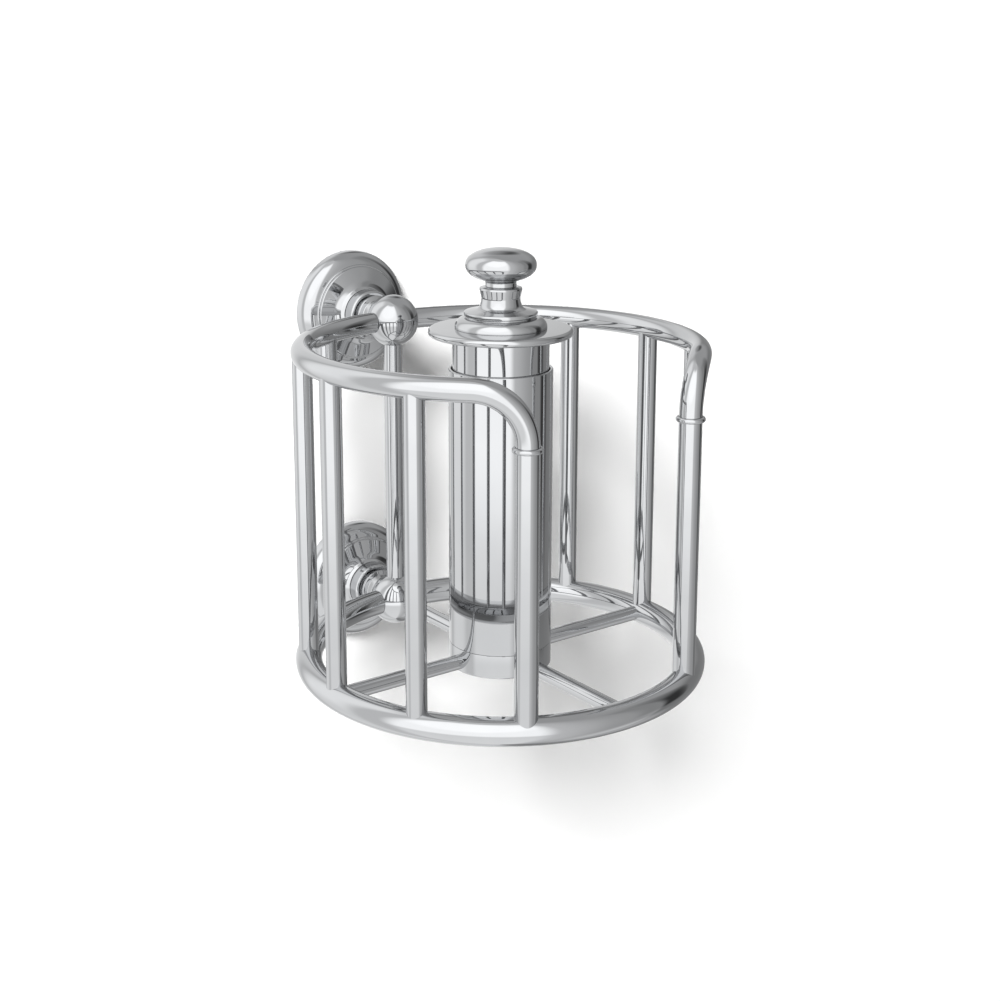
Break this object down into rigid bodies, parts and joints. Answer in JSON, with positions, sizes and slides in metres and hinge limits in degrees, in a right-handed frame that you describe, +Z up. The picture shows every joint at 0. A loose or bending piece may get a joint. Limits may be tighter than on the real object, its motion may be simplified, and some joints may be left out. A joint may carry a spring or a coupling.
{
  "type": "toilet roll holder",
  "caption": "Wall-mounted round wire cage toilet roll holder in polished chrome, open at the front, with a central post, lift-out spindle and turned finial.",
  "frame": {"origin": "centre of the upper wall plate's back face, on the wall and level with the top rail", "axes": "+Z up, +Y into the wall, +X to the right of someone facing the wall"},
  "size_m": [0.1602, 0.1902, 0.1857],
  "materials": {
    "chrome": "polished",
    "steel": "zinc plated",
    "brass": "turned",
    "nylon": "moulded",
    "rubber": "matt"
  },
  "bodies": {
    "cage": {"bottom_ring": "chrome", "top_rail_left": "chrome", "cage_bar_left_60": "chrome", "cage_bar_left_90": "chrome", "cage_bar_left_120": "chrome", "cage_bar_left_150": "chrome", "front_post_left": "chrome", "post_collar_left": "chrome", "top_rail_right": "chrome", "cage_bar_right_60": "chrome", "cage_bar_right_90": "chrome", "cage_bar_right_120": "chrome", "cage_bar_right_150": "chrome", "front_post_right": "chrome", "post_collar_right": "chrome", "spoke_front": "chrome", "spoke_right": "chrome", "spoke_back": "chrome", "spoke_left": "chrome", "post_hub": "chrome", "roll_post": "chrome", "post_pad": "rubber", "back_bar": "chrome", "upper_wall_plate": "steel", "upper_rosette": "chrome", "upper_grub_screw": "steel", "upper_arm": "chrome", "upper_ball": "chrome", "lower_wall_plate": "steel", "lower_rosette": "chrome", "lower_grub_screw": "steel", "lower_arm": "chrome", "lower_ball": "chrome"},
    "glide": {"glide_foot": "nylon"},
    "spindle": {"spindle_tube": "chrome", "spindle_plug": "brass", "spindle_nut": "brass", "finial_stud": "steel", "spindle_disc": "chrome", "finial_base": "chrome", "finial_knob": "chrome"}
  },
  "joints": [
    {"name": "spindle_lift", "type": "slide", "parent": "cage", "child": "glide", "axis": [0, 0, 1], "range_m": [0, 0.125]},
    {"name": "spindle_turn", "type": "hinge", "parent": "glide", "child": "spindle", "pos_m": [0, -0.11, 0], "axis": [0, 0, 1], "continuous": true}
  ]
}
